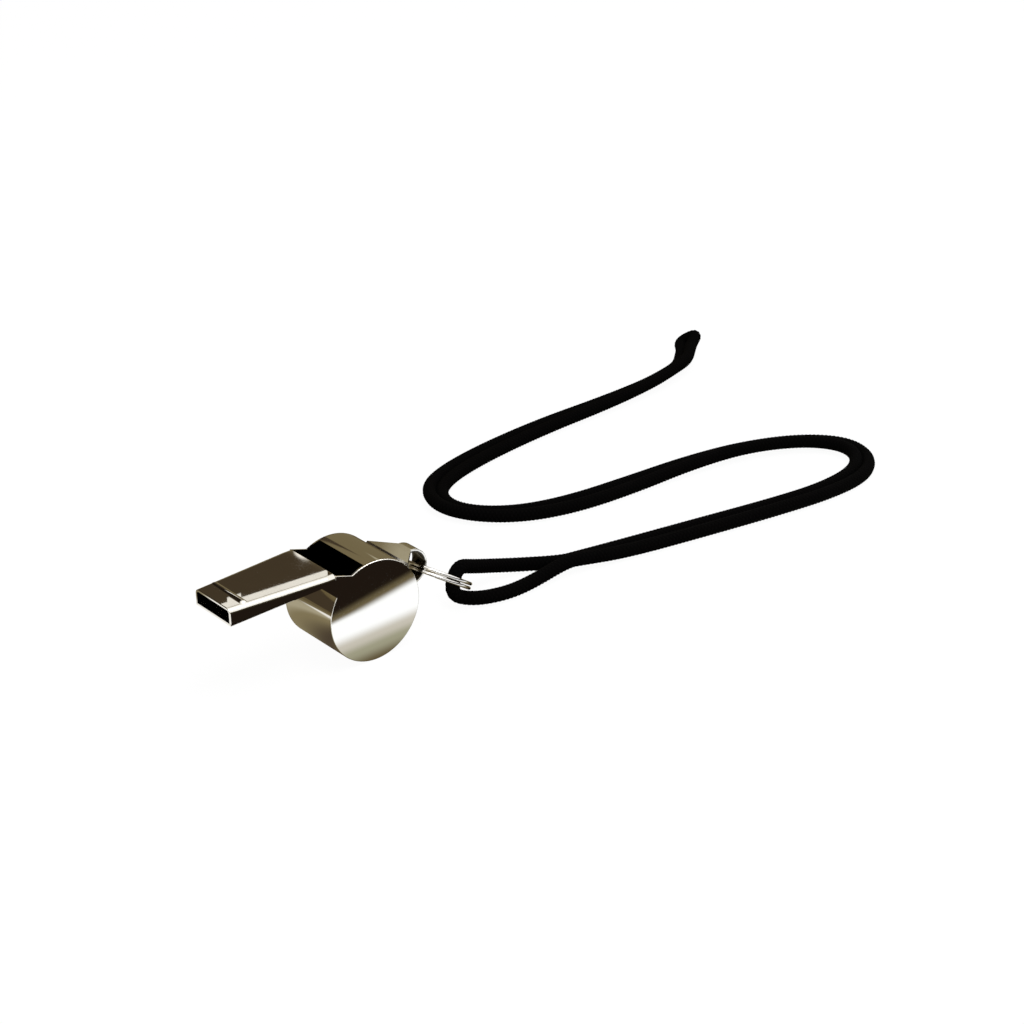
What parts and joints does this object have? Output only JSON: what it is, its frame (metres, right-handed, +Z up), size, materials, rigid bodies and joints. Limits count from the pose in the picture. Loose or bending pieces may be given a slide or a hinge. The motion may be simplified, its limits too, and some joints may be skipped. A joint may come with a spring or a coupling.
{
  "type": "sports whistle",
  "caption": "Pressed-metal pea whistle with a flat tapered mouthpiece, a round barrel, a rear lug with a split ring and a doubled black cord lanyard.",
  "frame": {"origin": "bottom middle of the whistle and its split ring, without the lanyard, on the surface that the barrel stands on", "axes": "+Z up, -X along the mouthpiece, Y along the barrel's axis"},
  "size_m": [0.1816, 0.0852, 0.0204],
  "materials": {
    "plated_shell": "polished nickel plate with a faint satin grain",
    "lug_plating": "polished nickel plate, slightly warm round its bow",
    "ring_steel": "bright drawn steel wire",
    "cork": "bare pressed cork",
    "braided_cord": "matt black braided polyester"
  },
  "bodies": {
    "whistle": {"barrel_wrap": "plated_shell", "side_plate_left": "plated_shell", "side_plate_right": "plated_shell", "mouthpiece_top": "plated_shell", "ring_lug": "lug_plating", "lanyard_eye": "braided_cord", "lanyard_strand_left": "braided_cord", "lanyard_strand_right": "braided_cord", "lanyard_fold": "braided_cord"},
    "pea": {"cork_pea": "cork"},
    "ring": {"split_ring": "ring_steel"}
  },
  "joints": [
    {"name": "pea_whirl", "type": "hinge", "parent": "whistle", "child": "pea", "pos_m": [0.00193, 0, 0.01], "axis": [0, 1, 0], "continuous": true},
    {"name": "ring_swing", "type": "hinge", "parent": "whistle", "child": "ring", "pos_m": [0.01611, 0, 0.01159], "axis": [0, -1, 0], "range_deg": [-80, 160], "deforming": ["lanyard_eye"]}
  ]
}
